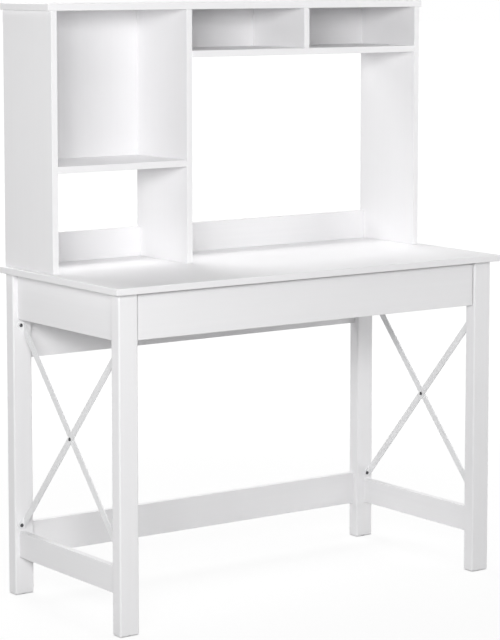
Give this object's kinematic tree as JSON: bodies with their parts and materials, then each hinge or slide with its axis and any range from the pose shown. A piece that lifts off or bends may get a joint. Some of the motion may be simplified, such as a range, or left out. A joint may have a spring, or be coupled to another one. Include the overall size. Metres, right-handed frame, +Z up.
{
  "type": "student desk with hutch",
  "caption": "White student desk with a wide handleless drawer, X-braced side frames, and a hutch with a cube, cubbies and an open screen bay.",
  "frame": {"origin": "on the floor under the middle of the desktop, where all four feet's floor plane lies", "axes": "+X to the sitter's right, +Y from the sitter to the wall, +Z up"},
  "size_m": [1.06, 0.49, 1.338],
  "materials": {
    "white_board": "satin white foil with a faint grain",
    "thin_board": "satin white foil on thin hardboard",
    "white_steel": "satin white powder coat",
    "runner_steel": "white epoxy coat",
    "nylon": "matte",
    "dark_steel": "black oxide",
    "zinc_steel": "bright zinc",
    "cam_alloy": "die cast",
    "white_plastic": "matte",
    "beech": "raw",
    "grey_plastic": "matte"
  },
  "bodies": {
    "desk": {"back_pins": "zinc_steel", "batten_screws": "zinc_steel", "brace_cross_bolts": "dark_steel", "brace_cross_nuts": "dark_steel", "brace_falling_left": "white_steel", "brace_falling_right": "white_steel", "brace_rising_left": "white_steel", "brace_rising_right": "white_steel", "brace_screws": "dark_steel", "bracket_screws": "zinc_steel", "cabinet_rail_left": "runner_steel", "cabinet_rail_right": "runner_steel", "cabinet_rail_screws": "zinc_steel", "cam_bolts": "zinc_steel", "cam_caps": "white_plastic", "cam_locks": "cam_alloy", "connecting_screws": "zinc_steel", "cubby_back": "thin_board", "cubby_divider": "white_board", "cubby_shelf": "white_board", "cube_back": "thin_board", "cube_shelf": "white_board", "desktop": "white_board", "desktop_brackets": "zinc_steel", "dowels": "beech", "foot_glides": "grey_plastic", "front_roller_pins": "zinc_steel", "hutch_panel_left": "white_board", "hutch_panel_middle": "white_board", "hutch_panel_right": "white_board", "hutch_rail_left": "white_board", "hutch_rail_right": "white_board", "hutch_top": "white_board", "leg_front_left": "white_board", "leg_front_right": "white_board", "leg_rear_left": "white_board", "leg_rear_right": "white_board", "rear_panel": "white_board", "rear_stretcher": "white_board", "runner_batten_left": "white_board", "runner_batten_right": "white_board", "screw_caps": "white_plastic", "side_apron_left": "white_board", "side_apron_right": "white_board", "side_stretcher_left": "white_board", "side_stretcher_right": "white_board"},
    "drawer": {"drawer_front": "white_board", "drawer_side_left": "white_board", "drawer_side_right": "white_board", "drawer_back": "white_board", "drawer_bottom": "thin_board", "drawer_rail_left": "runner_steel", "drawer_rail_right": "runner_steel", "rear_roller_pins": "zinc_steel", "drawer_rail_screws": "zinc_steel", "drawer_dowels": "beech"},
    "front_roller_left": {"front_roller_left": "nylon"},
    "front_roller_right": {"front_roller_right": "nylon"},
    "rear_roller_left": {"rear_roller_left": "nylon"},
    "rear_roller_right": {"rear_roller_right": "nylon"}
  },
  "joints": [
    {"name": "drawer_slide", "type": "slide", "parent": "desk", "child": "drawer", "axis": [0, -1, 0], "range_m": [0, 0.26]},
    {"name": "front_roller_left_turn", "type": "hinge", "parent": "desk", "child": "front_roller_left", "pos_m": [-0.46225, -0.191, 0.661], "axis": [1, 0, 0], "range_deg": [0, 1600]},
    {"name": "rear_roller_left_turn", "type": "hinge", "parent": "drawer", "child": "rear_roller_left", "pos_m": [-0.45925, 0.128, 0.661], "axis": [1, 0, 0], "range_deg": [0, 1600]},
    {"name": "front_roller_right_turn", "type": "hinge", "parent": "desk", "child": "front_roller_right", "pos_m": [0.46225, -0.191, 0.661], "axis": [1, 0, 0], "range_deg": [0, 1600]},
    {"name": "rear_roller_right_turn", "type": "hinge", "parent": "drawer", "child": "rear_roller_right", "pos_m": [0.45925, 0.128, 0.661], "axis": [1, 0, 0], "range_deg": [0, 1600]}
  ],
  "couplings": [
    {"joint": "front_roller_left_turn", "follows": "drawer_slide", "rad_per_m": 105.26},
    {"joint": "rear_roller_left_turn", "follows": "drawer_slide", "rad_per_m": 105.26},
    {"joint": "front_roller_right_turn", "follows": "drawer_slide", "rad_per_m": 105.26},
    {"joint": "rear_roller_right_turn", "follows": "drawer_slide", "rad_per_m": 105.26}
  ]
}
